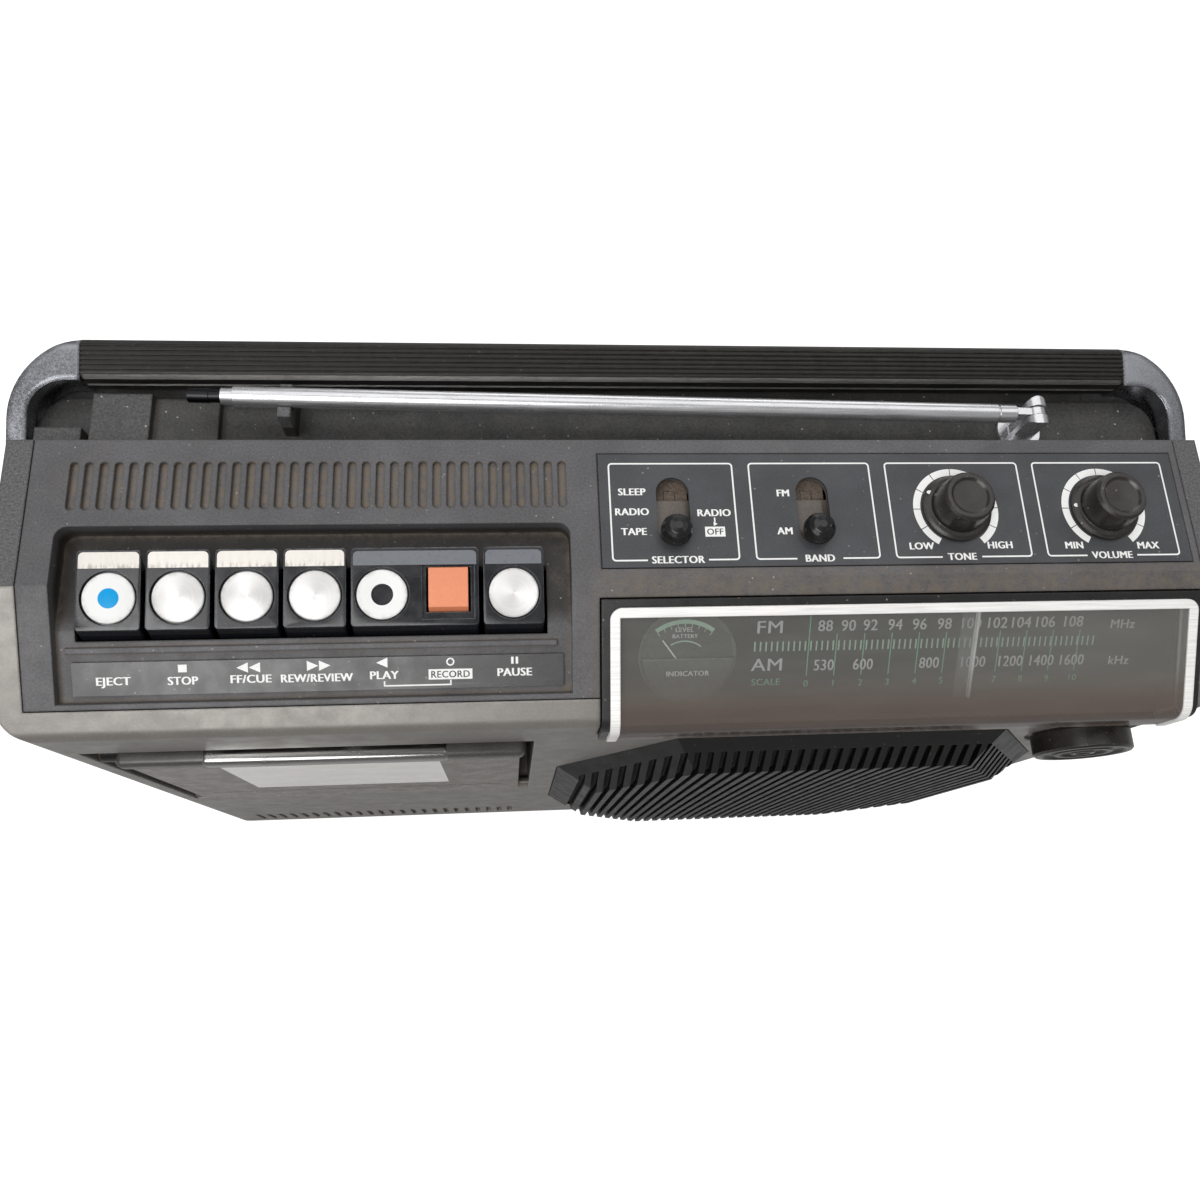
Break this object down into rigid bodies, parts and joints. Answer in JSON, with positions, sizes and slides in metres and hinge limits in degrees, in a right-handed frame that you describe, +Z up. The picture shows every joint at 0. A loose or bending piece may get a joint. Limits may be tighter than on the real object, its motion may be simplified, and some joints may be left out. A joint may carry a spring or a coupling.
{
  "type": "radio cassette recorder",
  "caption": "Portable radio cassette recorder with sloping dial, piano keys, front cassette door, octagonal speaker grille, folding handle and telescopic aerial.",
  "frame": {"origin": "on the floor, under the middle of the box that holds the whole object with its handle folded back", "axes": "+X to the right seen from the front, +Y towards the back, +Z up"},
  "size_m": [0.313, 0.1098, 0.2289],
  "materials": {
    "gunmetal_paint": "satin metallic paint on plastic",
    "charcoal_plastic": "fine textured satin plastic",
    "black_plastic": "satin black plastic",
    "record_orange": "satin orange plastic",
    "spun_aluminium": "spun, slightly worn",
    "satin_chrome": "plated, worn",
    "clear_plastic": "clear polished plastic",
    "white_plastic": "plain white plastic",
    "steel": "plain plated steel",
    "brass": "turned brass",
    "rubber": "plain rubber",
    "circuit_board": "paper laminate with parts",
    "ferrite": "sintered ferrite",
    "speaker_cloth": "black cloth and paper"
  },
  "bodies": {
    "case": {"front_cabinet": "gunmetal_paint", "rear_cabinet": "charcoal_plastic", "top_panel": "charcoal_plastic", "control_plate": "black_plastic", "label_strip": "black_plastic", "dial_bezel": "black_plastic", "dial_scale": "black_plastic", "level_meter": "black_plastic", "speaker_grille": "black_plastic", "rear_sockets": "black_plastic", "dial_trim": "satin_chrome", "antenna_base": "satin_chrome", "dial_lens": "clear_plastic", "key_shaft": "steel", "screws": "steel", "deck_chassis": "steel", "speaker_frame": "steel", "drive_motor": "steel", "feet": "rubber", "drive_belt": "rubber", "control_board": "circuit_board", "main_board": "circuit_board", "ferrite_rod": "ferrite", "speaker_mesh": "speaker_cloth", "speaker_cone": "speaker_cloth"},
    "eject": {"eject_key": "black_plastic", "eject_disc": "spun_aluminium"},
    "stop": {"stop_key": "black_plastic", "stop_disc": "spun_aluminium"},
    "fast_forward": {"fast_forward_key": "black_plastic", "fast_forward_disc": "spun_aluminium"},
    "rewind": {"rewind_key": "black_plastic", "rewind_disc": "spun_aluminium"},
    "play": {"play_key": "black_plastic", "play_disc": "spun_aluminium"},
    "record": {"record_key": "record_orange"},
    "pause": {"pause_key": "black_plastic", "pause_disc": "spun_aluminium"},
    "pointer": {"dial_pointer": "white_plastic"},
    "needle": {"meter_needle": "white_plastic"},
    "selector": {"selector_lever": "black_plastic"},
    "band": {"band_lever": "black_plastic"},
    "tone": {"tone_knob": "black_plastic"},
    "volume": {"volume_knob": "black_plastic"},
    "tuning": {"tuning_knob": "black_plastic"},
    "door": {"cassette_door": "gunmetal_paint", "door_window": "clear_plastic", "cassette_holder": "black_plastic"},
    "supply": {"supply_hub": "black_plastic"},
    "take_up": {"take_up_hub": "black_plastic"},
    "capstan": {"capstan_flywheel": "brass"},
    "motor": {"motor_pulley": "brass"},
    "heads": {"head_plate": "steel"},
    "roller": {"pinch_roller": "rubber"},
    "battery_door": {"battery_cover": "charcoal_plastic"},
    "handle": {"handle_grip": "black_plastic", "handle_arms": "satin_chrome"},
    "aerial": {"antenna_tube": "satin_chrome"},
    "aerial_middle": {"antenna_middle": "satin_chrome"},
    "aerial_tip": {"antenna_tip": "satin_chrome"}
  },
  "joints": [
    {"name": "eject_press", "type": "hinge", "parent": "case", "child": "eject", "pos_m": [0, 0.01514, 0.202], "axis": [1, 0, 0], "range_deg": [0, 8], "stiffness_Nm_per_rad": 0.25, "springref_deg": -2.86},
    {"name": "stop_press", "type": "hinge", "parent": "case", "child": "stop", "pos_m": [0, 0.01514, 0.202], "axis": [1, 0, 0], "range_deg": [0, 8], "stiffness_Nm_per_rad": 0.25, "springref_deg": -2.86},
    {"name": "fast_forward_press", "type": "hinge", "parent": "case", "child": "fast_forward", "pos_m": [0, 0.01514, 0.202], "axis": [1, 0, 0], "range_deg": [0, 8], "stiffness_Nm_per_rad": 0.25, "springref_deg": -2.86},
    {"name": "rewind_press", "type": "hinge", "parent": "case", "child": "rewind", "pos_m": [0, 0.01514, 0.202], "axis": [1, 0, 0], "range_deg": [0, 8], "stiffness_Nm_per_rad": 0.25, "springref_deg": -2.86},
    {"name": "play_press", "type": "hinge", "parent": "case", "child": "play", "pos_m": [0, 0.01514, 0.202], "axis": [1, 0, 0], "range_deg": [0, 8]},
    {"name": "record_press", "type": "hinge", "parent": "case", "child": "record", "pos_m": [0, 0.01514, 0.202], "axis": [1, 0, 0], "range_deg": [0, 8], "stiffness_Nm_per_rad": 0.25, "springref_deg": -2.86},
    {"name": "pause_press", "type": "hinge", "parent": "case", "child": "pause", "pos_m": [0, 0.01514, 0.202], "axis": [1, 0, 0], "range_deg": [0, 8], "stiffness_Nm_per_rad": 0.25, "springref_deg": -2.86},
    {"name": "tuning_turn", "type": "hinge", "parent": "case", "child": "tuning", "pos_m": [0.13, -0.04686, 0.1745], "axis": [0, 1, 0], "range_deg": [-840, 570]},
    {"name": "pointer_slide", "type": "slide", "parent": "case", "child": "pointer", "axis": [1, 0, 0], "range_m": [-0.044, 0.03]},
    {"name": "needle_swing", "type": "hinge", "parent": "case", "child": "needle", "pos_m": [0.0123, -0.03307, 0.20242], "axis": [0, -0.5736, 0.8192], "range_deg": [-72, 0]},
    {"name": "selector_slide", "type": "slide", "parent": "case", "child": "selector", "axis": [0, 1, 0], "range_m": [0, 0.012]},
    {"name": "band_slide", "type": "slide", "parent": "case", "child": "band", "axis": [0, 1, 0], "range_m": [0, 0.012]},
    {"name": "tone_turn", "type": "hinge", "parent": "case", "child": "tone", "pos_m": [0.081, 0.00334, 0.22], "axis": [0, 0, 1], "range_deg": [-240, 60]},
    {"name": "volume_turn", "type": "hinge", "parent": "case", "child": "volume", "pos_m": [0.1204, 0.00334, 0.22], "axis": [0, 0, 1], "range_deg": [-240, 60]},
    {"name": "door_open", "type": "hinge", "parent": "case", "child": "door", "pos_m": [-0.08275, -0.04486, 0.089], "axis": [1, 0, 0], "range_deg": [0, 30]},
    {"name": "supply_spin", "type": "hinge", "parent": "case", "child": "supply", "pos_m": [-0.104, -0.02486, 0.131], "axis": [0, 1, 0], "continuous": true},
    {"name": "capstan_spin", "type": "hinge", "parent": "case", "child": "capstan", "pos_m": [-0.09875, -0.02486, 0.157], "axis": [0, 1, 0], "continuous": true},
    {"name": "take_up_spin", "type": "hinge", "parent": "case", "child": "take_up", "pos_m": [-0.0615, -0.02486, 0.131], "axis": [0, 1, 0], "continuous": true},
    {"name": "motor_spin", "type": "hinge", "parent": "case", "child": "motor", "pos_m": [-0.05275, -0.02486, 0.117], "axis": [0, 1, 0], "continuous": true},
    {"name": "head_advance", "type": "slide", "parent": "case", "child": "heads", "axis": [0, 0, -1], "range_m": [0, 0.005], "stiffness_N_per_m": 110, "springref_m": -0.005},
    {"name": "roller_spin", "type": "hinge", "parent": "heads", "child": "roller", "pos_m": [-0.09975, -0.02486, 0.1696], "axis": [0, 1, 0], "continuous": true},
    {"name": "battery_door_open", "type": "hinge", "parent": "case", "child": "battery_door", "pos_m": [0, 0.04044, 0.0082], "axis": [-1, 0, 0], "range_deg": [0, 80]},
    {"name": "handle_fold", "type": "hinge", "parent": "case", "child": "handle", "pos_m": [0, -0.00186, 0.198], "axis": [1, 0, 0], "range_deg": [0, 105]},
    {"name": "aerial_raise", "type": "hinge", "parent": "case", "child": "aerial", "pos_m": [0.1093, 0.03214, 0.2163], "axis": [0.0209, 0.9998, 0], "range_deg": [0, 90]},
    {"name": "aerial_middle_slide", "type": "slide", "parent": "aerial", "child": "aerial_middle", "axis": [-0.9998, 0.0209, 0], "range_m": [0, 0.185]},
    {"name": "aerial_tip_slide", "type": "slide", "parent": "aerial_middle", "child": "aerial_tip", "axis": [-0.9998, 0.0209, 0], "range_m": [0, 0.185]}
  ],
  "couplings": [
    {"joint": "pointer_slide", "follows": "tuning_turn", "m_per_rad": 0.003},
    {"joint": "play_press", "follows": "head_advance", "rad_per_m": 27.9},
    {"joint": "take_up_spin", "follows": "capstan_spin", "ratio": 0.3},
    {"joint": "motor_spin", "follows": "capstan_spin", "ratio": 6}
  ]
}
